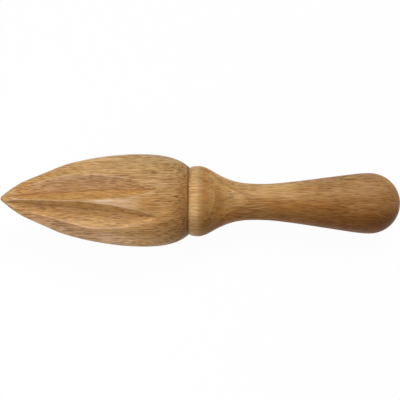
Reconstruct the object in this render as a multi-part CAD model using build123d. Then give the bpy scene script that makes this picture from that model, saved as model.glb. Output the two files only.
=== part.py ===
"""A citrus reamer turned from one piece of beech: a pointed, fluted head, a grooved collar and a
waisted handle with a round butt. It lies as it does on a table, on one flute's edges and the butt.

Stations are distances from the tip along the turning axis. Millimetres and degrees.
"""

import os
from math import asin, degrees, radians, tan

from build123d import *

os.makedirs("parts", exist_ok=True)

# Overall
overall_length = 170.2

# Head: a pointed ogive, widest at the belly, falling over a round shoulder to the groove
tip_round_radius = 1.2
tip_half_angle = 40.5
belly_station = 59.6
belly_radius = 19.7
nose_shares = (0.285, 0.563)  # of the belly's station and radius
cheek_shares = (0.62, 0.872)
shoulder_shares = (0.63, 0.245)  # of the way, and of the drop, from belly to groove
shoulder_drop_angle = 43.0

# Groove and collar: a narrow lathe cut, then a low crowned band
groove_station = 80.6
groove_radius = 14.15
groove_wall_width = 0.8
collar_width = 5.0
collar_radius = 15.0
collar_front_drop = 0.4
collar_rear_drop = 0.32
collar_crown_share = 0.62  # of the collar's width, where it stands highest
collar_rear_angle = 15.0

# Ogee, neck and handle
neck_station = 110.6
neck_radius = 7.7
ogee_shares = (0.22, 0.375)  # of the way, and of the drop, from collar to neck
cove_shares = (0.49, 0.795)
butt_radius = 12.9
grip_front_shares = (0.27, 0.185)  # of the way, and of the rise, from neck to butt
grip_rear_shares = (0.82, 0.865)

# Flutes: straight V cuts whose floors climb from a slim core at the tip and run out on the belly
flute_count = 8
flute_included_angle = 100.0
flute_core_radius = 2.05
flute_depth_at_belly = 2.55

cut_overrun = 5.0


def between(start, end, shares):
    """The point that lies the given shares of the way from start to end, along and across."""
    return (
        start[0] + shares[0] * (end[0] - start[0]),
        start[1] + shares[1] * (end[1] - start[1]),
    )


def heading(angle):
    """A unit direction in the profile's plane, angle degrees above the axis."""
    return Vector(1, 0).rotate(Axis.Z, angle)


# Points of the profile, as station and radius
tip = (0, 0)
belly = (belly_station, belly_radius)
groove = (groove_station, groove_radius)
collar_front = (groove_station + groove_wall_width, collar_radius - collar_front_drop)
collar_crown = (collar_front[0] + collar_crown_share * collar_width, collar_radius)
collar_rear = (collar_front[0] + collar_width, collar_radius - collar_rear_drop)
neck = (neck_station, neck_radius)
butt = (overall_length - butt_radius, butt_radius)


def turned_blank():
    """The piece as it comes off the lathe, before it is fluted."""
    with BuildPart() as blank:
        with BuildSketch():
            with BuildLine():
                point = CenterArc((tip_round_radius, 0), tip_round_radius, 180, tip_half_angle - 90)
                Spline(
                    point @ 1,
                    between(tip, belly, nose_shares),
                    between(tip, belly, cheek_shares),
                    belly,
                    between(belly, groove, shoulder_shares),
                    groove,
                    tangents=[heading(tip_half_angle), heading(-shoulder_drop_angle)],
                )
                Line(groove, collar_front)
                ThreePointArc(collar_front, collar_crown, collar_rear)
                Spline(
                    collar_rear,
                    between(collar_rear, neck, ogee_shares),
                    between(collar_rear, neck, cove_shares),
                    neck,
                    tangents=[heading(-collar_rear_angle), heading(0)],
                )
                Spline(
                    neck,
                    between(neck, butt, grip_front_shares),
                    between(neck, butt, grip_rear_shares),
                    butt,
                    tangents=[heading(0), heading(0)],
                )
                CenterArc((overall_length - butt_radius, 0), butt_radius, 90, -90)
                Line((overall_length, 0), tip)
            make_face()
        revolve(axis=Axis.X)
    return blank.part


def flute_cutter():
    """A V-shaped prism whose lower edge is the floor of the flute on the head's +Z side."""
    rise = (belly_radius - flute_depth_at_belly - flute_core_radius) / belly_station
    start = Vector(-cut_overrun, 0, flute_core_radius - rise * cut_overrun)
    end = Vector(groove_station, 0, flute_core_radius + rise * groove_station)
    reach = 2 * belly_radius
    half_width = reach * tan(radians(flute_included_angle / 2))
    across = Plane(origin=start, x_dir=(0, 1, 0), z_dir=end - start)
    section = Polyline((0, 0), (half_width, reach), (-half_width, reach), close=True)
    return extrude(across * make_face(section), (end - start).length)


def fluted(blank):
    """The blank with its flutes cut, one of them straight below the axis."""
    cutter = flute_cutter()
    turns = [180 + flute * 360 / flute_count for flute in range(flute_count)]
    return blank - [Rot(X=turn) * cutter for turn in turns]


def laid_down(piece):
    """The piece tilted until head and butt touch the table together, its origin under its middle."""
    front = split(piece, Plane.YZ.offset(neck_station), keep=Keep.BOTTOM)
    back = split(piece, Plane.YZ.offset(neck_station), keep=Keep.TOP)
    span = butt[0] - belly_station
    tilt = 0
    for _ in range(6):
        front_low = (Rot(Y=tilt) * front).bounding_box().min.Z
        back_low = (Rot(Y=tilt) * back).bounding_box().min.Z
        tilt += degrees(asin((back_low - front_low) / span))
    lying = Rot(Y=tilt) * piece
    box = lying.bounding_box()
    print(f"tilt {tilt:.3f} degrees, box {box.size}")
    return Pos(-box.center().X, -box.center().Y, -box.min.Z) * lying


reamer = laid_down(fluted(turned_blank()))
reamer.label = "reamer"
export_step(reamer, "parts/reamer.step")
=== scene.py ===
"""Looks of a wooden citrus reamer: one piece of beech, turned, fluted and sanded, lying on a table.

The mesh is spun from the turned profile, its flutes are cut into the head ring by ring, and its
beech is a solid texture, so grain runs through head, collar, neck and handle as in one block.
Metres throughout, but millimetres in the places of the wood's marks and of its casts, many of them
painted light and shade. Angles round the axis start straight up and grow towards +Y.
"""
from bisect import bisect_left
from math import asin, atan, atan2, cos, exp, hypot, pi, radians, sin, sqrt, tan

import bmesh
import bpy
from bpy.props import FloatProperty, FloatVectorProperty, PointerProperty
from mathutils import Matrix, Vector


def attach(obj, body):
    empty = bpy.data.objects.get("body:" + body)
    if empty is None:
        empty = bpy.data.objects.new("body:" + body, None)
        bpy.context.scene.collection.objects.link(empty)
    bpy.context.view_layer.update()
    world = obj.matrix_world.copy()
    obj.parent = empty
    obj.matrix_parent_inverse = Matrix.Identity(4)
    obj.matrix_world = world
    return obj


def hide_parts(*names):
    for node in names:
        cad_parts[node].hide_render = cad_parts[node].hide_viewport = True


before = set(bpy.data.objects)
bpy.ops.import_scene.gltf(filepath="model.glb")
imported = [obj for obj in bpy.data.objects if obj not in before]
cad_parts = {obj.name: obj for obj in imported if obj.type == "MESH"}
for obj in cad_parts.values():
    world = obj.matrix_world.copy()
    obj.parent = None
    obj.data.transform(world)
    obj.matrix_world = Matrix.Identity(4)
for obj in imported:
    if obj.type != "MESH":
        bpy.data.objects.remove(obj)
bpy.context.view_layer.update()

bl_info = {
    "name": "Citrus Reamer",
    "version": (1, 0, 0),
    "blender": (4, 5, 0),
    "location": "View3D > Sidebar > Reamer",
    "description": "Turned and fluted beech citrus reamer with its table, lights and camera",
    "category": "Object",
}

MM = 0.001

# How the reamer lies: the axis dips towards the butt, and the tip stands clear of the table
LYING_TILT = radians(4.104)
TIP_PLACE = Vector((-84.893, 0.0, 24.158)) * MM
AXIS = Vector((cos(LYING_TILT), 0.0, -sin(LYING_TILT)))
ACROSS = Vector((0.0, 1.0, 0.0))
ABOVE = Vector((sin(LYING_TILT), 0.0, cos(LYING_TILT)))

# Points of the mesh nearer to each other than this are one
NO_DISTANCE = 0.0002 * MM
# Rings of the mesh round the point of the tip and round the butt
TIP_RINGS = 8
BUTT_RINGS = 26
# Columns of the mesh round the reamer, the same number from each flute's floor to the next
COLUMNS_PER_FLUTE = 32
# Where they stand on a wall, as shares of the way from the floor of a flute to its edge
WALL_SHARES = (0, 0.03, 0.08, 0.15, 0.24, 0.34, 0.44, 0.54, 0.64, 0.73, 0.81, 0.88, 0.935, 0.973, 1)
# How far past an edge the first column of a land stands
LAND_INSET = 0.3 * MM
# The least angle that a wall's columns take up, in degrees, at the tip and behind it
LEAST_OPENING = (11.0, 0.8)
# The most that they take up of the way from the floor to the crest
MOST_OPENING = 0.994
# How near to its own angle, in radians, a wall is so far out that it cuts nothing
WALL_END = 0.05
# Where the columns give up following the flutes and spread evenly
COLUMNS_EVENED = (68 * MM, 77 * MM)
# Half width of the painted shade line along a flute's floor
FLOOR_LINE_WIDTH = 0.32 * MM
# How much each crest is rubbed, on the edge of the flute before it and of the flute after it
EDGE_WEAR = (
    (0.4, 0.4), (0.4, 0.4), (0.3, 0.75), (0.85, 0.9),
    (0.6, 0.3), (0.3, 0.4), (0.4, 0.4), (0.4, 0.4),
)
# The land that is rubbed pale over its whole width where it begins, between flutes 3 and 4
PALE_LAND = 3
# Direction of the beech's rays round the axis. A wall that faces along them is cut across them
RAY_ANGLE = radians(-44.5)

# Where each flute's floor runs, in degrees round the axis at three stations along the head.
# They were cut by eye. The one straight below is true, because the reamer rests on it.
DRIFT_STATIONS = (12.6 * MM, 37.0 * MM, 63.8 * MM)
FLUTE_ANGLES = (
    (-180.0, -180.0, -180.0),
    (-131.5, -131.0, -132.5),
    (-85.8, -84.5, -88.5),
    (-42.6, -41.3, -42.6),
    (-1.0, -3.5, -7.6),
    (43.0, 42.5, 43.5),
    (88.0, 88.5, 90.5),
    (134.0, 134.0, 134.5),
)
# How far each V leans, in degrees: one wall opens wider by this, the other one by as much less
FLUTE_LEANS = (0.0, 0.0, 0.0, -8.0, -2.2, 0.0, 0.0, 0.0)

# Direction of the near lower side, square to the turning axis
NEAR_SIDE = (0.0, -0.924, -0.383)
# Middle of the swirl in the grain, from the tip
SWIRL_PLACE = Vector((47.0, -18.0, 3.4)) * MM
# Casts laid over the wood, all painted light and shade but for the brown band. Each row says where a
# cast comes in and goes out along the reamer, in millimetres past the groove, then the same towards the
# near lower side, in millimetres from the axis, and last its tint. None is where it has no such end.
PAINTED_LIGHT_AND_TONE_CASTS = (
    # Painted shade: the grip is darker and browner, and its near lower side darker still, from the
    # collar on
    ((38, 60), None, None, None, (0.88, 0.86, 0.84)),
    ((2, 30), None, (-1, 9), None, (0.84, 0.68, 0.46)),
    ((38, 60), None, (0, 9), None, (0.84, 0.80, 0.74)),
    # Painted light: above the axis the ogee and the neck are brighter
    ((4, 12), (38, 56), None, (-6, 1), (1.15, 1.19, 1.24)),
    # A brown band runs along the middle of the grip
    ((28, 36), (60, 70), (-2.5, 0.5), (2.5, 5.5), (0.88, 0.78, 0.62)),
    # Painted sheen: the top of the grip is paler and greyer
    ((20, 30), None, None, (-9, -2), (1.03, 1.10, 1.26)),
    # Painted light: the ogee is warmer low on its near side. Painted shade: it is duller all round on
    # its slope
    ((8, 13), (18, 24), (1, 6), None, (1.20, 1.08, 0.88)),
    ((4, 6), (12, 17), None, None, (0.93, 0.88, 0.78)),
    # Painted light: the head is paler along its far rim and its near flank
    (None, (-10, -2), None, (-18.5, -13), (1.03, 1.10, 1.24)),
    (None, (-10, -2), (10, 15), None, (1.02, 1.08, 1.18)),
    # Painted shade: the foot of the shoulder is browner below the axis
    ((-3.2, -2.0), (-0.7, -0.2), (0, 8), None, (0.86, 0.83, 0.78)),
)

# The reamer's length in the picture, as a share of the picture's width
PICTURE_SHARE = 399.3 / 400
# How far above the reamer's middle, in the picture, the camera aims
AIM_ABOVE = 0.49 * MM
# The two square lamps: their sides, and how far they stand from what they light
KEY_SIZE, KEY_DISTANCE = 0.45, 0.90
TIP_SIZE, TIP_DISTANCE = 0.20, 0.22
# The point along the axis that the small lamp faces
TIP_LAMP_STATION = 35 * MM


def eased(value, low, high):
    """How far a value has come from low to high, clamped to 0..1 and gentle at both ends."""
    share = min(max((value - low) / (high - low), 0.0), 1.0)
    return share * share * (3 - 2 * share)


def mixed(first, second, share):
    """The value a share of the way from first to second."""
    return first + (second - first) * share


def soft_lower(first, second, rounding):
    """The lower of two heights, with the corner between them sanded round."""
    overlap = max(rounding - abs(first - second), 0.0) / rounding
    return min(first, second) - overlap * overlap * rounding / 4


# Sizes and colours


class ReamerTurning(bpy.types.PropertyGroup):
    """Sizes of the turned profile, along the axis from the tip and out from it."""

    length: FloatProperty(
        name="Length", description="Overall length along the turning axis",
        default=0.17019, min=0.1, max=0.3, precision=4, subtype="DISTANCE", unit="LENGTH")
    tip_round: FloatProperty(
        name="Tip rounding", description="Radius of the rounded point",
        default=0.0012, min=0.0002, max=0.004, precision=4, subtype="DISTANCE", unit="LENGTH")
    tip_angle: FloatProperty(
        name="Tip half angle", description="Slope of the head's side where it leaves the point",
        default=radians(40.5), min=0.1, max=1.4, subtype="ANGLE")
    belly_station: FloatProperty(
        name="Belly station", description="Distance from the tip to the head's widest place",
        default=0.0596, min=0.02, max=0.1, precision=4, subtype="DISTANCE", unit="LENGTH")
    belly_radius: FloatProperty(
        name="Belly radius", description="Radius of the head where it is widest",
        default=0.0197, min=0.005, max=0.04, precision=4, subtype="DISTANCE", unit="LENGTH")
    groove_station: FloatProperty(
        name="Groove station", description="Distance from the tip to the groove behind the head",
        default=0.0806, min=0.03, max=0.12, precision=4, subtype="DISTANCE", unit="LENGTH")
    groove_radius: FloatProperty(
        name="Groove radius", description="Radius at the bottom of the groove",
        default=0.01415, min=0.004, max=0.03, precision=4, subtype="DISTANCE", unit="LENGTH")
    collar_radius: FloatProperty(
        name="Collar radius", description="Radius of the collar at its crown",
        default=0.015, min=0.004, max=0.03, precision=4, subtype="DISTANCE", unit="LENGTH")
    neck_station: FloatProperty(
        name="Neck station", description="Distance from the tip to the handle's thinnest place",
        default=0.1106, min=0.05, max=0.15, precision=4, subtype="DISTANCE", unit="LENGTH")
    neck_radius: FloatProperty(
        name="Neck radius", description="Radius of the handle where it is thinnest",
        default=0.0077, min=0.002, max=0.02, precision=4, subtype="DISTANCE", unit="LENGTH")
    butt_radius: FloatProperty(
        name="Butt radius", description="Radius of the round end of the handle",
        default=0.0129, min=0.004, max=0.03, precision=4, subtype="DISTANCE", unit="LENGTH")
    top_sanding: FloatProperty(
        name="Top sanding", description="Share of the radius sanded away along the top of the head",
        default=0.0150, min=0.0, max=0.03, precision=4)
    side_sanding: FloatProperty(
        name="Side sanding", description="Share of the radius sanded away at the head's two sides",
        default=0.0078, min=0.0, max=0.03, precision=4)


class ReamerFlutes(bpy.types.PropertyGroup):
    """Sizes of the V cuts that squeeze the fruit."""

    included_angle: FloatProperty(
        name="Included angle", description="Angle between the two walls of a flute",
        default=radians(100.0), min=0.5, max=2.6, subtype="ANGLE")
    core_radius: FloatProperty(
        name="Core radius", description="Distance of a flute's floor from the axis at the tip",
        default=0.00205, min=0.0005, max=0.01, precision=4, subtype="DISTANCE", unit="LENGTH")
    depth_at_belly: FloatProperty(
        name="Depth at belly", description="Depth that a flute's straight floor has at the belly",
        default=0.00303, min=0.0005, max=0.01, precision=5, subtype="DISTANCE", unit="LENGTH")
    straight_to: FloatProperty(
        name="Straight to", description="Distance from the tip to where a flute's floor begins to rise",
        default=0.054, min=0.02, max=0.08, precision=4, subtype="DISTANCE", unit="LENGTH")
    runout_radius: FloatProperty(
        name="Run-out radius", description="Radius of the floor's rise out of the wood",
        default=0.150, min=0.02, max=1.0, precision=4, subtype="DISTANCE", unit="LENGTH")
    edge_rounding: FloatProperty(
        name="Edge rounding", description="How far the sanding reaches over a flute's edges",
        default=0.00030, min=0.00005, max=0.002, precision=5, subtype="DISTANCE", unit="LENGTH")
    floor_rounding: FloatProperty(
        name="Floor rounding", description="Half width of the soft bottom of a flute",
        default=0.00012, min=0.00002, max=0.001, precision=5, subtype="DISTANCE", unit="LENGTH")
    wear_width: FloatProperty(
        name="Wear width", description="Width of the pale, rubbed line on an edge",
        default=0.00022, min=0.00005, max=0.002, precision=5, subtype="DISTANCE", unit="LENGTH")


class ReamerBeech(bpy.types.PropertyGroup):
    """Colours and size of figure of the bare beech."""

    early_wood: FloatVectorProperty(
        name="Early wood", description="Light part of each growth ring",
        default=(0.715, 0.415, 0.154), min=0, max=1, subtype="COLOR")
    late_wood: FloatVectorProperty(
        name="Late wood", description="Dark part of each growth ring",
        default=(0.460, 0.214, 0.060), min=0, max=1, subtype="COLOR")
    pink_cast: FloatVectorProperty(
        name="Pink cast", description="Tint of the wood where a cut crosses the rays",
        default=(0.92, 0.94, 1.20), min=0, max=2, subtype="COLOR")
    ochre_cast: FloatVectorProperty(
        name="Ochre cast", description="Tint of the wood where a cut runs along the rays",
        default=(0.93, 0.93, 0.85), min=0, max=2, subtype="COLOR")
    ray_fleck: FloatVectorProperty(
        name="Ray fleck", description="Short dark flecks that mark beech",
        default=(0.180, 0.068, 0.019), min=0, max=1, subtype="COLOR")
    pale_fleck: FloatVectorProperty(
        name="Pale fleck", description="Short pale flecks between the dark ones",
        default=(0.720, 0.480, 0.260), min=0, max=1, subtype="COLOR")
    rubbed_edge: FloatVectorProperty(
        name="Rubbed edge", description="Dry, pale wood where the edges are worn",
        default=(0.860, 0.600, 0.400), min=0, max=1, subtype="COLOR")
    burnished: FloatVectorProperty(
        name="Burnished groove", description="Wood browned by the turning tool's rub",
        default=(0.185, 0.075, 0.022), min=0, max=1, subtype="COLOR")
    ring_spacing: FloatProperty(
        name="Ring spacing", description="Distance between growth rings",
        default=0.0026, min=0.0005, max=0.01, precision=4, subtype="DISTANCE", unit="LENGTH")
    roughness: FloatProperty(
        name="Roughness", description="Roughness of the sanded surface",
        default=0.50, min=0.0, max=1.0, subtype="FACTOR")


class ReamerStage(bpy.types.PropertyGroup):
    """Table, lamps and camera."""

    table_size: FloatProperty(
        name="Table size", description="Side of the pale table top",
        default=6.0, min=0.5, max=20.0, subtype="DISTANCE", unit="LENGTH")
    table_colour: FloatVectorProperty(
        name="Table colour", description="Colour of the pale table top",
        default=(0.43, 0.40, 0.34), min=0, max=1, subtype="COLOR")
    shadow_share: FloatProperty(
        name="Shadow share", description="How much of its shading the white table keeps",
        default=0.03, min=0.0, max=1.0, subtype="FACTOR")
    key_power: FloatProperty(
        name="Key power", description="Power of the large soft lamp above the far side",
        default=5.4, min=0.0, max=100.0, subtype="POWER", unit="POWER")
    tip_power: FloatProperty(
        name="Tip power", description="Power of the small lamp above and beyond the tip",
        default=0.34, min=0.0, max=100.0, subtype="POWER", unit="POWER")
    room_light: FloatProperty(
        name="Room light", description="Strength of the even light from all round",
        default=0.05, min=0.0, max=2.0)
    lens: FloatProperty(
        name="Lens", description="Focal length of the camera",
        default=0.100, min=0.01, max=0.5, subtype="DISTANCE_CAMERA", unit="CAMERA")
    view_turn: FloatProperty(
        name="View turn", description="How far round the axis from straight above the camera stands",
        default=radians(-22.5), min=-pi, max=pi, subtype="ANGLE")
    view_roll: FloatProperty(
        name="View roll", description="Turn of the picture about the line of sight",
        default=radians(0.73), min=-0.5, max=0.5, subtype="ANGLE")


# The turned blank


def profile_points(turning):
    """Station, radius and slope of each named point of the profile behind the rounded tip."""
    belly = (turning.belly_station, turning.belly_radius)
    groove = (turning.groove_station, turning.groove_radius)
    neck = (turning.neck_station, turning.neck_radius)
    swell = (turning.length - turning.butt_radius, turning.butt_radius)
    collar_front = (groove[0] + 0.8 * MM, turning.collar_radius - 0.4 * MM)
    collar_crown = (collar_front[0] + 3.1 * MM, turning.collar_radius)
    collar_rear = (collar_front[0] + 5.0 * MM, turning.collar_radius - 0.32 * MM)
    tip_turn = pi / 2 - turning.tip_angle
    point = (turning.tip_round * (1 - cos(tip_turn)), turning.tip_round * sin(tip_turn))

    def at(start, end, along, across, slope):
        """A point part of the way from one to another, with its slope in degrees."""
        return mixed(start[0], end[0], along), mixed(start[1], end[1], across), radians(slope)

    head = [
        (*point, turning.tip_angle),
        at((0, 0), belly, 0.285, 0.563, 23.44),
        at((0, 0), belly, 0.62, 0.872, 11.63),
        (*belly, radians(0.53)),
        at(belly, groove, 0.63, 0.245, -15.51),
        (*groove, radians(-43.0)),
    ]
    groove_wall = [(*groove, radians(29.36)), (*collar_front, radians(29.36))]
    collar = [
        (*collar_front, radians(17.83)),
        (*collar_crown, radians(0.0)),
        (*collar_rear, radians(-16.0)),
    ]
    ogee = [
        (*collar_rear, radians(-15.0)),
        at(collar_rear, neck, 0.22, 0.375, -29.92),
        at(collar_rear, neck, 0.49, 0.795, -18.07),
        (*neck, 0.0),
    ]
    grip = [
        (*neck, 0.0),
        at(neck, swell, 0.27, 0.185, 7.08),
        at(neck, swell, 0.82, 0.865, 7.97),
        (*swell, 0.0),
    ]
    return head, groove_wall, collar, ogee, grip


def curve_radius(points, station):
    """Radius of a smooth curve through points of known slope, at a station between them."""
    places = [point[0] for point in points]
    after = min(max(bisect_left(places, station), 1), len(points) - 1)
    (start, low, leaving), (end, high, reaching) = points[after - 1], points[after]
    span = end - start
    share = min(max((station - start) / span, 0.0), 1.0)
    square, cube = share * share, share ** 3
    return (
        (2 * cube - 3 * square + 1) * low
        + (cube - 2 * square + share) * span * tan(leaving)
        + (3 * square - 2 * cube) * high
        + (cube - square) * span * tan(reaching)
    )


def profile(turning):
    """The profile as a list of stations and radii, close together where it turns quickly."""
    head, groove_wall, collar, ogee, grip = profile_points(turning)
    tip_turn = pi / 2 - turning.tip_angle
    turned = [(0.0, 0.0)]
    for step in range(1, TIP_RINGS):
        turn = tip_turn * step / TIP_RINGS
        turned.append((turning.tip_round * (1 - cos(turn)), turning.tip_round * sin(turn)))

    def follow(points, spacings):
        """Adds rings along a curve; each spacing holds up to the station given with it."""
        station = points[0][0]
        for limit, spacing in spacings:
            limit = min(limit, points[-1][0])
            steps = max(round((limit - station) / spacing), 1)
            for step in range(steps):
                place = mixed(station, limit, step / steps)
                turned.append((place, curve_radius(points, place)))
            station = limit

    end = turning.length
    follow(head, ((3 * MM, 0.25 * MM), (12 * MM, 0.3 * MM), (61 * MM, 0.5 * MM),
                  (69 * MM, 0.22 * MM), (78 * MM, 0.5 * MM), (end, 0.16 * MM)))
    follow(groove_wall, ((end, 0.11 * MM),))
    follow(collar, ((end, 0.17 * MM),))
    follow(ogee, ((100 * MM, 0.5 * MM), (end, 0.8 * MM)))
    follow(grip, ((end, 1.05 * MM),))
    for step in range(BUTT_RINGS):
        turn = pi / 2 * step / BUTT_RINGS
        turned.append((end - turning.butt_radius * (1 - sin(turn)), turning.butt_radius * cos(turn)))
    turned.append((end, 0.0))
    return turned


def turn_blank(mesh, turned, columns):
    """Extrudes the profile point by point and spins it about the axis, starting straight below."""
    last = bmesh.ops.create_vert(mesh, co=(0.0, 0.0, 0.0))["vert"][0]
    for station, radius in turned[1:]:
        last = bmesh.ops.extrude_vert_indiv(mesh, verts=[last])["verts"][0]
        last.co = (station, 0.0, -radius)
    bmesh.ops.spin(mesh, geom=mesh.verts[:] + mesh.edges[:], cent=(0, 0, 0), axis=(1, 0, 0),
                   dvec=(0, 0, 0), angle=2 * pi, steps=columns, use_merge=True, use_duplicate=False)
    bmesh.ops.remove_doubles(mesh, verts=mesh.verts[:], dist=NO_DISTANCE)


# The flutes


def flute_angle(flute, station):
    """Where a flute's floor runs, round the axis, on a gentle curve through its three places."""
    front, middle, rear = DRIFT_STATIONS
    place = min(max(station, 0.0), 70 * MM)
    angles = FLUTE_ANGLES[flute % len(FLUTE_ANGLES)]
    angle = (
        angles[0] * (place - middle) * (place - rear) / ((front - middle) * (front - rear))
        + angles[1] * (place - front) * (place - rear) / ((middle - front) * (middle - rear))
        + angles[2] * (place - front) * (place - middle) / ((rear - front) * (rear - middle))
    )
    return radians(angle) + 2 * pi * (flute // len(FLUTE_ANGLES))


def opening(wall, floor, blank):
    """How far round the axis a wall reaches from the floor of its flute to the turned surface."""
    return wall - asin(floor * sin(wall) / blank) if floor < blank else 0.0


def crest_angle(gap, first, second):
    """How far round the axis two neighbouring flutes' walls meet, from the first one's floor."""
    back = second - gap
    return atan2(sin(first) * (sin(second) - sin(back)),
                 sin(first) * cos(back) + sin(second) * cos(first))


def column_offsets(gap, reaches, rooms, least, blank):
    """Where columns stand from one floor to the next: up a wall, over the land and down a wall."""
    first, second = [
        min(max(reach, least), room * MOST_OPENING) for reach, room in zip(reaches, rooms)]
    inset = min(LAND_INSET / blank, (gap - first - second) / 4)
    offsets = [first * share for share in WALL_SHARES]
    offsets += [first + inset, (first + gap - second) / 2, gap - second - inset]
    return offsets + [gap - second * share for share in reversed(WALL_SHARES[1:])]


def edge_rub(station, into_land, wear, flutes):
    """How pale an edge is rubbed: most on the edge itself, and less at the tip and at the rear."""
    wear *= mixed(1.0, 0.55, eased(station, 50 * MM, 60 * MM))
    along = mixed(eased(station, 8 * MM, 22 * MM), 1.0, max(wear - 0.4, 0.0) / 0.6)
    return wear * along * exp(-((into_land / flutes.wear_width) ** 2))


def land_rub(station, broad):
    """How pale a land is rubbed over its width, from where it opens to where it gets broad."""
    share = eased(broad, 0.3 * MM, 1.5 * MM) * eased(broad, 11 * MM, 5 * MM)
    return 0.9 * share * eased(station, 20 * MM, 32 * MM) * eased(station, 63 * MM, 51 * MM)


def ring_plan(station, blank, turning, flutes):
    """What one ring becomes, column by column: its angle, its radius, and four shares.

    The shares say how pale it is rubbed there, how far it is on the painted shade line along a flute's
    floor, how far it was cut, and how far it was cut across the rays.
    """
    count = len(FLUTE_ANGLES)
    climb = (turning.belly_radius - flutes.depth_at_belly - flutes.core_radius) / turning.belly_station
    floor = flutes.core_radius + climb * station
    floor += max(station - flutes.straight_to, 0.0) ** 2 / (2 * flutes.runout_radius)
    # Half the V's angle, as a section square to the axis shows it
    wall = atan(tan(flutes.included_angle / 2) * cos(atan(climb)))
    least = radians(mixed(*LEAST_OPENING, eased(station, 0.0, 4 * MM)))
    evened = eased(station, *COLUMNS_EVENED)
    centres = [flute_angle(flute, station) for flute in range(count + 1)]
    softness = flutes.floor_rounding / max(floor, 1 * MM)
    plan = []
    for flute in range(count):
        # Up the first wall of this flute, over the crest or land, and down to the next one's floor
        gap = centres[flute + 1] - centres[flute]
        walls = (wall + radians(FLUTE_LEANS[flute]), wall - radians(FLUTE_LEANS[(flute + 1) % count]))
        crest = crest_angle(gap, *walls)
        rooms = (crest, gap - crest)
        reaches = [opening(side_wall, floor, blank) for side_wall in walls]
        halves = [min(reach, room) for reach, room in zip(reaches, rooms)]
        for column, offset in enumerate(column_offsets(gap, reaches, rooms, least, blank)):
            even = -pi + 2 * pi * (flute + column / COLUMNS_PER_FLUTE) / count
            angle = mixed(centres[flute] + offset, even, evened)
            past = angle - centres[flute]
            radius = blank
            for away, side_wall in zip((past, gap - past), walls):
                bent = sqrt(away * away + softness * softness)
                if bent < side_wall - WALL_END:
                    cut = floor * sin(side_wall) / sin(side_wall - bent)
                    radius = soft_lower(radius, cut, flutes.edge_rounding)
            side = 0 if past < crest else 1
            nearest = (past, gap - past)[side]
            depth = eased(halves[side], radians(0.6), radians(3.6))
            into_land = (nearest - halves[side]) * blank
            rubbed = edge_rub(station, into_land, EDGE_WEAR[flute][side], flutes)
            if into_land > 0 and flute == PALE_LAND:
                rubbed = max(rubbed, land_rub(station, (gap - sum(halves)) * blank))
            # The painted shade line along the flute's floor
            line = exp(-((nearest * floor / FLOOR_LINE_WIDTH) ** 2))
            cut = eased(into_land, 0.25 * MM, -0.25 * MM) * depth
            facing = centres[flute + side] + (1 - 2 * side) * (walls[side] - pi / 2) - RAY_ANGLE
            plan.append((angle, radius, rubbed * depth, line * depth, cut, cut * cos(facing) ** 2))
    return plan


def sanded_away(angle, station, turning):
    """Share of the radius that sanding took off the head, along its top and at its two sides."""
    low = turning.top_sanding * eased(abs(angle - radians(4)), radians(45), 0.0)
    low += turning.side_sanding * eased(abs(abs(angle) - pi / 2), radians(24), 0.0)
    return low * eased(station, 78 * MM, 70 * MM)


def cut_flutes(mesh, turned, turning, flutes):
    """Moves the blank's rings inwards along the flutes, and records where the wood was cut."""
    columns = COLUMNS_PER_FLUTE * len(FLUTE_ANGLES)
    stations = [station for station, radius in turned]
    on_axis = 0.001 * MM
    layers = [mesh.verts.layers.float.new(name)
              for name in ("rubbed_edge", "flute_floor", "cut_wall", "cut_rays")]
    plans = {}
    for vert in mesh.verts:
        if hypot(vert.co.y, vert.co.z) < on_axis:
            continue
        ring = bisect_left(stations, vert.co.x - on_axis)
        column = round((atan2(vert.co.y, vert.co.z) + pi) / (2 * pi) * columns) % columns
        if ring not in plans:
            plans[ring] = ring_plan(*turned[ring], turning, flutes)
        angle, radius, *shares = plans[ring][column]
        radius *= 1 - sanded_away(angle, vert.co.x, turning)
        vert.co = (vert.co.x, radius * sin(angle), radius * cos(angle))
        for layer, share in zip(layers, shares):
            vert[layer] = share


def lay_down(mesh):
    """Tilts the finished turning about its tip, so that it rests on the table."""
    lying = Matrix((
        (AXIS.x, ACROSS.x, ABOVE.x, TIP_PLACE.x),
        (AXIS.y, ACROSS.y, ABOVE.y, TIP_PLACE.y),
        (AXIS.z, ACROSS.z, ABOVE.z, TIP_PLACE.z),
        (0, 0, 0, 1),
    ))
    bmesh.ops.transform(mesh, matrix=lying, verts=mesh.verts[:])


# The beech


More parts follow.
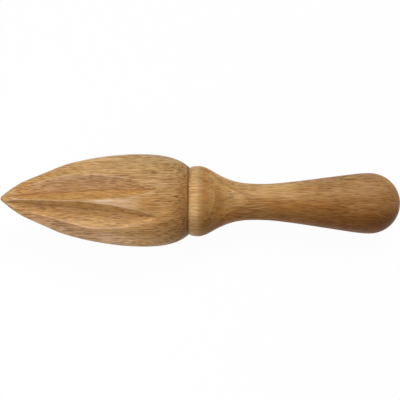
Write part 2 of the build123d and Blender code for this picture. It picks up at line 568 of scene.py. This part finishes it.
class Nodes:
    """Adds shader nodes to a material's tree and links them."""

    def __init__(self, tree):
        self.tree = tree
        tree.nodes.clear()

    def add(self, kind, inputs=None, **settings):
        """A node with its settings, and its inputs set to values or linked to outputs."""
        node = self.tree.nodes.new("ShaderNode" + kind)
        for name, value in settings.items():
            setattr(node, name, value)
        for name, value in (inputs or {}).items():
            self.feed(node.inputs[name], value)
        return node

    def feed(self, socket, value):
        """Links an output to a socket, or sets the socket to a plain value."""
        if isinstance(value, bpy.types.NodeSocket):
            self.tree.links.new(value, socket)
        else:
            socket.default_value = value

    def scaled(self, coordinates, along, across, shift=0.0):
        """Coordinates stretched along the grain: cells per metre along and across it."""
        return self.add("Mapping", {"Vector": coordinates, "Location": (shift, shift * 0.7, shift * 1.3),
                                    "Scale": (along, across, across)}).outputs["Vector"]

    def noise(self, coordinates, detail, roughness=0.5, output="Fac"):
        """Soft noise of one cell per unit."""
        return self.add("TexNoise", {"Vector": coordinates, "Scale": 1.0, "Detail": detail,
                                     "Roughness": roughness}).outputs[output]

    def attribute(self, name):
        """A share that the mesh keeps under a name."""
        return self.add("Attribute", attribute_name=name).outputs["Fac"]

    def math(self, operation, first, second=0.0, third=0.0, clamp=False):
        """One sum on numbers."""
        return self.add("Math", {0: first, 1: second, 2: third},
                        operation=operation, use_clamp=clamp).outputs["Value"]

    def vector(self, operation, first, second=(0.0, 0.0, 0.0), scale=1.0):
        """One sum on vectors. A length or a dot product is a number."""
        node = self.add("VectorMath", {0: first, 1: second, 3: scale}, operation=operation)
        return node.outputs["Value" if operation in ("LENGTH", "DOT_PRODUCT") else "Vector"]

    def product(self, *shares):
        """Shares multiplied together."""
        whole = shares[0]
        for share in shares[1:]:
            whole = self.math("MULTIPLY", whole, share)
        return whole

    def apart(self, value, middle):
        """How far a value lies from a middle, either way."""
        return self.math("ABSOLUTE", self.math("SUBTRACT", value, middle))

    def span(self, value, low, high, to_low=0.0, to_high=1.0, smooth=True):
        """A value between low and high, brought to another range and clamped to it."""
        return self.add(
            "MapRange", {"Value": value, "From Min": low, "From Max": high,
                         "To Min": to_low, "To Max": to_high},
            interpolation_type="SMOOTHSTEP" if smooth else "LINEAR").outputs["Result"]

    def stretch(self, value, comes_in, goes_out):
        """1 over a stretch, with a soft end where it comes in and where it goes out, or with none."""
        ends = []
        if comes_in:
            ends.append(self.span(value, *comes_in))
        if goes_out:
            ends.append(self.span(value, *goes_out, 1.0, 0.0))
        return self.product(*ends) if ends else 1.0

    def blend(self, share, first, second, kind="MIX"):
        """Two colours mixed by a share."""
        node = self.add("Mix", data_type="RGBA", blend_type=kind)
        self.feed(node.inputs[0], share)
        for socket, value in ((node.inputs[6], first), (node.inputs[7], second)):
            self.feed(socket, value if isinstance(value, bpy.types.NodeSocket) else (*value, 1.0))
        return node.outputs[2]

    def cast(self, share, colour, tint):
        """A colour with a tint laid over a share of it."""
        return self.blend(share, colour, tint, "MULTIPLY")

    def flecks(self, coordinates, along, across, size, kept, shift):
        """Spindle-shaped marks, one in each kept cell of a stretched cell pattern."""
        cells = self.add("TexVoronoi", {"Vector": self.scaled(coordinates, along, across, shift),
                                        "Scale": 1.0, "Randomness": 1.0}, feature="F1")
        pick = self.add("SeparateColor", {"Color": cells.outputs["Color"]}).outputs
        return self.product(
            self.span(cells.outputs["Distance"], size * 0.6, size, 1.0, 0.0),
            self.span(pick["Green"], 0.0, 1.0, 0.4, 1.0),
            self.span(pick["Red"], 1 - kept, 1 - kept * 0.6))

    def shown_rays(self):
        """1 for a ray that shows a surface as it is seen, straight, in a gloss or through glass."""
        rays = self.add("LightPath").outputs
        seen = self.math("MAXIMUM", rays["Is Camera Ray"], rays["Is Glossy Ray"])
        return self.math("MAXIMUM", seen, rays["Is Transmission Ray"])


class BeechNodes(Nodes):
    """Bare beech, a solid texture about the turning axis, with turning marks and painted light and
    shade.

    In millimetres, station is how far a point is from the tip, past how far behind the groove, and
    down how far towards the near lower side from the axis. butt is how far behind the groove the
    reamer ends. cut is 1 on a flute's wall, and rays is 1 on one that is cut straight across the rays.
    """

    def __init__(self, tree, beech, turning):
        super().__init__(tree)
        self.beech = beech
        turned_back = Matrix.Rotation(-LYING_TILT, 4, "Y") @ -TIP_PLACE
        place = self.add("Mapping", {"Vector": self.add("TexCoord").outputs["Object"],
                                     "Location": turned_back, "Rotation": (0.0, -LYING_TILT, 0.0)})
        self.place = place.outputs["Vector"]
        along = self.add("SeparateXYZ", {"Vector": self.place}).outputs["X"]
        self.station = self.math("DIVIDE", along, MM)
        self.past = self.math("SUBTRACT", self.station, turning.groove_station / MM)
        self.down = self.math("DIVIDE", self.vector("DOT_PRODUCT", self.place, NEAR_SIDE), MM)
        self.butt = (turning.length - turning.groove_station) / MM
        self.cut = self.attribute("cut_wall")
        self.rays = self.attribute("cut_rays")

        # The grain wanders a little. Fine marks lie in thin sheets along the rays, so they run on
        # where a cut slants through them.
        wander = self.noise(self.scaled(self.place, 13, 45), 2.0, 0.55, "Color")
        wander = self.vector("SUBTRACT", wander, (0.5, 0.5, 0.5))
        wander = self.vector("SCALE", wander, scale=0.0075)
        self.swirl = self.vector("ADD", self.place, wander)
        sheets = self.add("Mapping", {"Vector": self.place, "Rotation": (-radians(22.5), 0.0, 0.0)})
        sheets = self.add("Mapping", {"Vector": sheets.outputs["Vector"], "Scale": (1.0, 1.0, 0.27)})
        bend = self.vector("SCALE", wander, scale=0.35)
        self.grain = self.vector("ADD", sheets.outputs["Vector"], bend)
        self.fibre = self.noise(self.scaled(self.grain, 90, 3000, 5.2), 2.0, 0.6)
        self.streak = self.span(self.noise(self.scaled(self.grain, 22, 620, 1.7), 3.0, 0.6), 0.3, 0.72)

    def bare_wood(self):
        """Growth rings, broad drifts, streaks and fine fibre."""
        # The pith lay outside the blank, behind and below it
        pith = self.add("Mapping", {"Vector": self.swirl, "Location": (0.0, -0.022, 0.046),
                                    "Rotation": (0.0, radians(1.6), radians(-1.2))}).outputs["Vector"]
        rings = self.add("TexWave", {"Vector": pith, "Scale": 1 / (self.beech.ring_spacing * 20) * pi,
                                     "Distortion": 1.2, "Detail": 2.0, "Detail Scale": 0.6},
                         wave_type="RINGS", rings_direction="X", wave_profile="SAW").outputs["Fac"]
        ring_tone = self.math("SUBTRACT", self.span(rings, 0.15, 1.0), 0.5)
        # They show most on the ogee, where the surface slants through them
        ring_share = self.span(self.apart(self.past, 15), 3, 14, 0.70, 0.20)
        drift = self.span(self.noise(self.scaled(self.place, 14, 75, 3.1), 2.0), 0.3, 0.7)
        thread = self.span(self.noise(self.scaled(self.grain, 130, 2800, 6.1), 3.0, 0.65), 0.32, 0.66)
        tone = self.math("MULTIPLY_ADD", ring_tone, ring_share, self.math("MULTIPLY", drift, 0.22))
        tone = self.math("MULTIPLY_ADD", self.streak, 0.34, tone)
        tone = self.math("MULTIPLY_ADD", thread, 0.82, self.math("SUBTRACT", tone, 0.20), clamp=True)
        colour = self.blend(tone, self.beech.early_wood, self.beech.late_wood)
        shade = self.span(self.fibre, 0.25, 0.8, 1.18, 0.74, smooth=False)
        shade = self.add("CombineColor", {"Red": shade, "Green": shade, "Blue": shade})
        return self.cast(1.0, colour, shade.outputs["Color"])

    def wood_casts(self, colour, front):
        """Under the flecks: cut walls and a swirl in the wood itself, and painted light, highlight and
        sheen.
        """
        # Pinkish where the cutter crossed the rays, palest at the flutes' mouths, ochre along them
        fading = self.span(self.station, 48, 60, 1.0, 0.3)
        across = self.product(self.span(self.rays, 0.62, 0.95), self.span(self.station, 9, 19))
        mouths = self.product(across, self.span(self.station, 44, 52))
        colour = self.cast(mouths, colour, (1.10, 1.12, 1.16))
        colour = self.cast(self.product(across, fading), colour, self.beech.pink_cast)
        along = self.product(self.cut, self.span(self.rays, 0.05, 0.4, 1.0, 0.0), fading)
        colour = self.cast(along, colour, self.beech.ochre_cast)

        # Painted light: paler along the near lower side of the head, less so on a wall along the rays
        painted_lower_light = self.product(self.span(self.down, 0, 13), self.span(self.past, -14, -1, 1.0, 0.55),
                               self.span(self.past, 0, 8, 1.0, 0.0))
        colour = self.cast(painted_lower_light, colour, (1.38, 1.46, 1.68))
        plain_cut = self.product(self.cut, self.span(self.down, 6, 9.5),
                                 self.span(self.rays, 0.70, 0.85, 1.0, 0.0))
        colour = self.cast(plain_cut, colour, (0.82, 0.84, 0.87))

        # Ruddier between the belly and the groove
        ruddy = self.product(self.stretch(self.past, (-26, -16), (-4, -1)), self.span(self.down, -6, 3))
        colour = self.cast(ruddy, colour, (0.99, 0.91, 0.82))

        # Painted highlight: paler on the front of the collar, below the axis most of all
        painted_collar_highlight = self.product(front, self.span(self.down, -8, 2, 0.68, 1.0),
                                   self.span(self.down, 3, 10, 1.0, 0.5))
        colour = self.cast(painted_collar_highlight, colour, (1.47, 1.61, 1.90))

        # Painted sheen: a little greyer on the far upper side
        painted_upper_sheen = self.product(self.span(self.down, -15, -2, 1.0, 0.0),
                             self.span(self.past, 20, 40, 1.0, 0.4))
        colour = self.cast(painted_upper_sheen, colour, (1.02, 1.12, 1.28))

        # A brown patch where the grain swirls, low on the head
        swirled = self.vector("SUBTRACT", self.swirl, SWIRL_PLACE)
        swirled = self.add("Mapping", {"Vector": swirled, "Scale": (220.0, 400.0, 400.0)})
        swirled = self.vector("LENGTH", swirled.outputs["Vector"])
        swirled = self.span(swirled, 0.35, 1.0, 0.9, 0.0)
        return self.cast(swirled, colour, (0.72, 0.62, 0.52))

    def dark_flecks(self, front):
        """The dark ray flecks, thinner on the ground in some stretches and thicker in others."""
        short = self.flecks(self.grain, 190, 2500, 0.39, 0.95, 0.0)
        long = self.flecks(self.grain, 85, 2200, 0.37, 0.95, 4.4)
        shoulder = self.product(self.span(self.past, -24, -12), self.span(self.past, 4, 12, 0.35, 0.0))
        return self.product(
            self.math("MAXIMUM", short, long),
            self.span(self.noise(self.scaled(self.place, 28, 120, 8.3), 1.0), 0.32, 0.62, 0.6, 1.0),
            self.span(self.past, 30, 42, 1.0, 0.85),
            self.span(self.apart(self.past, 8.5), 4, 8, 0.35, 1.0),
            self.span(self.rays, 0.6, 0.95, 1.0, 1.18),
            self.span(self.math("SUBTRACT", self.cut, self.rays), 0.3, 0.9, 1.0, 0.7),
            self.math("ADD", shoulder, 1.0),
            self.span(self.down, 7, 12, 1.0, 0.78),
            self.math("SUBTRACT", 1.0, self.math("MULTIPLY", front, 0.5)))

    def tool_rings(self):
        """Faint rings left by the turning tool, everywhere but in the flutes."""
        along_only = self.add("Mapping", {"Vector": self.place, "Scale": (1500.0, 0.0, 0.0)})
        tool_rings = self.noise(along_only.outputs["Vector"], 2.0, 0.7)
        return self.product(self.span(tool_rings, 0.35, 0.75), self.span(self.cut, 0.1, 0.6, 1.0, 0.0))

    def painted_light_and_tone_casts(self, colour):
        """Painted light and shade over the wood and its flecks, and a brown band along the grip."""
        # Painted shade: darker and browner towards the butt, where the light falls off
        painted_butt_shade = self.span(self.past, 0, self.butt, 0.0, 0.6)
        colour = self.cast(painted_butt_shade, colour, (0.80, 0.66, 0.50))
        for along_in, along_out, down_in, down_out, tint in PAINTED_LIGHT_AND_TONE_CASTS:
            along = self.stretch(self.past, along_in, along_out)
            down = self.stretch(self.down, down_in, down_out)
            colour = self.cast(self.product(along, down), colour, tint)
        return colour

    def groove_shade_and_burn(self, colour):
        """Painted shade on the shoulder and at the collar's foot, and the line the turning tool's rub
        browned.
        """
        ragged = self.noise(self.scaled(self.place, 60, 160, 2.2), 2.0)
        # Painted shade on the shoulder, darkest just before the groove
        browned = self.product(self.span(self.past, -6, -1.1),
                               self.span(self.past, -0.7, -0.2, 0.6, 0.0),
                               self.span(ragged, 0.2, 0.6, 0.6, 1.0))
        colour = self.cast(browned, colour, (0.74, 0.60, 0.40))
        line = self.product(self.span(self.apart(self.past, -0.62), 0.12, 0.6, 0.74, 0.0),
                            self.span(ragged, 0.25, 0.6, 0.6, 1.0),
                            self.span(self.down, -12, -7, 1.30, 1.0))
        colour = self.blend(line, colour, self.beech.burnished)
        # Painted shade at the collar's foot, where the surface turns away from the light
        foot = self.product(self.span(self.apart(self.past, 6.7), 0.3, 2.2, 0.6, 0.0),
                            self.span(ragged, 0.3, 0.65, 0.5, 1.0))
        return self.cast(foot, colour, (0.92, 0.66, 0.44))


def beech_material(beech, turning):
    """The bare beech: its colour in layers, from the wood out, with painted light and shade, then its
    surface.
    """
    material = bpy.data.materials.new("beech_bare")
    material.use_nodes = True
    nodes = BeechNodes(material.node_tree, beech, turning)
    front = nodes.stretch(nodes.past, (-0.2, 0.4), (2.4, 4.8))
    dark = nodes.dark_flecks(front)
    pale = nodes.product(nodes.flecks(nodes.grain, 95, 2100, 0.37, 0.9, 9.1), 0.75)
    tool_rings = nodes.tool_rings()
    ring_share = nodes.span(nodes.apart(nodes.past, 3), 4, 16, 0.16, 0.06)

    colour = nodes.wood_casts(nodes.bare_wood(), front)
    colour = nodes.blend(pale, colour, beech.pale_fleck)
    colour = nodes.blend(dark, colour, beech.ray_fleck)
    colour = nodes.blend(nodes.product(tool_rings, ring_share), colour, beech.ray_fleck)
    colour = nodes.groove_shade_and_burn(nodes.painted_light_and_tone_casts(colour))

    # Pale rubbed edges, and the fine line of painted shade down each flute's floor
    rub_break = nodes.noise(nodes.scaled(nodes.grain, 110, 1100, 6.6), 2.0)
    rubbed = nodes.product(nodes.attribute("rubbed_edge"), nodes.span(rub_break, 0.34, 0.62, 0.38, 0.95))
    colour = nodes.blend(rubbed, colour, beech.rubbed_edge)
    colour = nodes.blend(nodes.product(nodes.attribute("flute_floor"), 0.50), colour, beech.ray_fleck)

    # Fibre and streaks stand out a little, flecks and the tool's rings lie in. Flecks are rougher
    # than the rest, and rubbed edges smoother.
    height = nodes.math("MULTIPLY_ADD", nodes.fibre, 0.45, nodes.math("MULTIPLY", nodes.streak, 0.25))
    height = nodes.math("SUBTRACT", height, nodes.math("MULTIPLY", dark, 0.5))
    height = nodes.math("MULTIPLY_ADD", tool_rings, -0.35, height)
    bump = nodes.add("Bump", {"Height": height, "Strength": 0.45, "Distance": 0.12 * MM})
    rough = nodes.span(nodes.noise(nodes.scaled(nodes.place, 90, 300, 7.7), 3.0), 0.3, 0.7,
                       beech.roughness - 0.06, beech.roughness + 0.07)
    rough = nodes.math("MULTIPLY_ADD", dark, 0.16, rough)
    rough = nodes.math("MULTIPLY_ADD", rubbed, -0.07, rough)
    wood = nodes.add("BsdfPrincipled", {"Base Color": colour, "Roughness": rough,
                                        "Normal": bump.outputs["Normal"],
                                        "Specular IOR Level": 0.2})
    nodes.add("OutputMaterial", {"Surface": wood.outputs["BSDF"]})
    return material


# The operators, the stage and the panel


def made_object(scene, name, mesh, material):
    """The object of a finished mesh, in the scene, with its material."""
    data = bpy.data.meshes.new(name)
    mesh.to_mesh(data)
    mesh.free()
    data.materials.append(material)
    made = bpy.data.objects.new(name, data)
    scene.collection.objects.link(made)
    return made


class OBJECT_OT_reamer_body(bpy.types.Operator):
    """Turn, flute and finish the one-piece beech reamer"""

    bl_idname = "object.reamer_body"
    bl_label = "Make Reamer"
    bl_options = {"REGISTER", "UNDO"}

    def execute(self, context):
        turning, flutes = context.scene.reamer_turning, context.scene.reamer_flutes
        turned = profile(turning)
        mesh = bmesh.new()
        turn_blank(mesh, turned, COLUMNS_PER_FLUTE * len(FLUTE_ANGLES))
        cut_flutes(mesh, turned, turning, flutes)
        lay_down(mesh)
        bmesh.ops.recalc_face_normals(mesh, faces=mesh.faces[:])
        for face in mesh.faces:
            face.smooth = True
        material = beech_material(context.scene.reamer_beech, turning)
        wood = made_object(context.scene, "reamer_wood", mesh, material)
        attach(wood, "root")
        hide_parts("reamer")
        return {"FINISHED"}


def stage_table(scene, stage):
    """A wide pale table top that shows white, and keeps a faint shadow of the reamer."""
    mesh = bmesh.new()
    bmesh.ops.create_grid(mesh, x_segments=1, y_segments=1, size=stage.table_size / 2)
    material = bpy.data.materials.new("table_pale")
    material.use_nodes = True
    nodes = Nodes(material.node_tree)
    bounce = nodes.add("BsdfDiffuse", {"Color": (*stage.table_colour, 1.0)})
    clean = nodes.add("BsdfDiffuse", {"Color": (1, 1, 1, 1)})
    white = nodes.add("Emission", {"Color": (1, 1, 1, 1), "Strength": 1.0})
    away = nodes.vector("LENGTH", nodes.add("TexCoord").outputs["Object"])
    shaded = nodes.span(away, 0.12, 0.40, stage.shadow_share, 0.0)
    shown = nodes.add("MixShader", {0: shaded, 1: white.outputs[0], 2: clean.outputs[0]})
    surface = nodes.add("MixShader", {0: nodes.shown_rays(), 1: bounce.outputs[0], 2: shown.outputs[0]})
    nodes.add("OutputMaterial", {"Surface": surface.outputs[0]})
    table = made_object(scene, "table_top", mesh, material)


def stage_room(scene, stage):
    """Even light from all round, before a white background."""
    world = bpy.data.worlds.new("room")
    world.use_nodes = True
    nodes = Nodes(world.node_tree)
    room = nodes.add("Background", {"Color": (1, 1, 1, 1), "Strength": stage.room_light})
    white = nodes.add("Background", {"Color": (1, 1, 1, 1), "Strength": 1.0})
    shown = nodes.add("MixShader", {0: nodes.shown_rays(), 1: room.outputs[0], 2: white.outputs[0]})
    nodes.add("OutputWorld", {"Surface": shown.outputs[0]})
    scene.world = world


def soft_lamp(scene, name, power, size, direction, distance, target):
    """A square soft lamp that stands in a direction from the target and faces it."""
    light = bpy.data.lights.new(name, "AREA")
    light.shape = "SQUARE"
    light.size = size
    light.energy = power
    lamp = bpy.data.objects.new(name, light)
    direction = direction.normalized()
    lamp.location = target + direction * distance
    lamp.rotation_mode = "QUATERNION"
    lamp.rotation_quaternion = direction.to_track_quat("Z", "Y")
    scene.collection.objects.link(lamp)


def stage_camera(scene, stage, turning, aim, facing, upward):
    """The camera, square to the turning axis, where the reamer's length fills the picture."""
    camera = bpy.data.cameras.new("camera")
    camera.lens = stage.lens / MM
    camera.sensor_width = 36.0
    camera.dof.use_dof = False
    seat = bpy.data.objects.new("camera", camera)
    distance = turning.length / PICTURE_SHARE * camera.lens / camera.sensor_width
    right = AXIS * cos(stage.view_roll) + upward * sin(stage.view_roll)
    turn = Matrix((right, facing.cross(right), facing)).transposed()
    seat.matrix_world = Matrix.Translation(aim + facing * distance) @ turn.to_4x4()
    scene.collection.objects.link(seat)
    scene.camera = seat


class OBJECT_OT_reamer_stage(bpy.types.Operator):
    """Lay the table and set up the room light, lamps and camera"""

    bl_idname = "object.reamer_stage"
    bl_label = "Set Stage"
    bl_options = {"REGISTER", "UNDO"}

    def execute(self, context):
        scene = context.scene
        stage, turning = scene.reamer_stage, scene.reamer_turning
        stage_table(scene, stage)
        stage_room(scene, stage)
        middle = TIP_PLACE + AXIS * (turning.length / 2)
        facing = ABOVE * cos(stage.view_turn) + ACROSS * sin(stage.view_turn)
        upward = facing.cross(AXIS)
        key = facing * 0.67 + upward * 0.69 + AXIS * 0.2
        soft_lamp(scene, "key_lamp", stage.key_power, KEY_SIZE, key, KEY_DISTANCE, middle)
        head = TIP_PLACE + AXIS * TIP_LAMP_STATION
        beyond_tip = facing * 0.8 - upward * 0.2 - AXIS * 0.8
        soft_lamp(scene, "tip_lamp", stage.tip_power, TIP_SIZE, beyond_tip, TIP_DISTANCE, head)
        stage_camera(scene, stage, turning, middle + upward * AIM_ABOVE, facing, upward)
        scene.view_settings.view_transform = "Standard"
        return {"FINISHED"}


class VIEW3D_PT_reamer(bpy.types.Panel):
    """Sizes, colours and steps of the reamer"""

    bl_label = "Citrus Reamer"
    bl_idname = "VIEW3D_PT_reamer"
    bl_space_type = "VIEW_3D"
    bl_region_type = "UI"
    bl_category = "Reamer"

    def draw(self, context):
        layout, scene = self.layout, context.scene
        for operator in (OBJECT_OT_reamer_body, OBJECT_OT_reamer_stage):
            layout.operator(operator.bl_idname)
        for title, group in (("Turning", scene.reamer_turning), ("Flutes", scene.reamer_flutes),
                             ("Beech", scene.reamer_beech), ("Stage", scene.reamer_stage)):
            box = layout.box()
            box.label(text=title)
            for name in group.__annotations__:
                box.prop(group, name)


CLASSES = (
    ReamerTurning, ReamerFlutes, ReamerBeech, ReamerStage,
    OBJECT_OT_reamer_body, OBJECT_OT_reamer_stage, VIEW3D_PT_reamer,
)


def register():
    """Registers the classes and gives each scene its sizes and colours."""
    for item in CLASSES:
        bpy.utils.register_class(item)
    bpy.types.Scene.reamer_turning = PointerProperty(type=ReamerTurning)
    bpy.types.Scene.reamer_flutes = PointerProperty(type=ReamerFlutes)
    bpy.types.Scene.reamer_beech = PointerProperty(type=ReamerBeech)
    bpy.types.Scene.reamer_stage = PointerProperty(type=ReamerStage)


def unregister():
    """Takes back what register did."""
    for name in ("reamer_stage", "reamer_beech", "reamer_flutes", "reamer_turning"):
        delattr(bpy.types.Scene, name)
    for item in reversed(CLASSES):
        bpy.utils.unregister_class(item)


def main():
    """Makes the reamer and its stage."""
    register()
    bpy.ops.object.reamer_body()
    bpy.ops.object.reamer_stage()


if __name__ == "__main__":
    main()
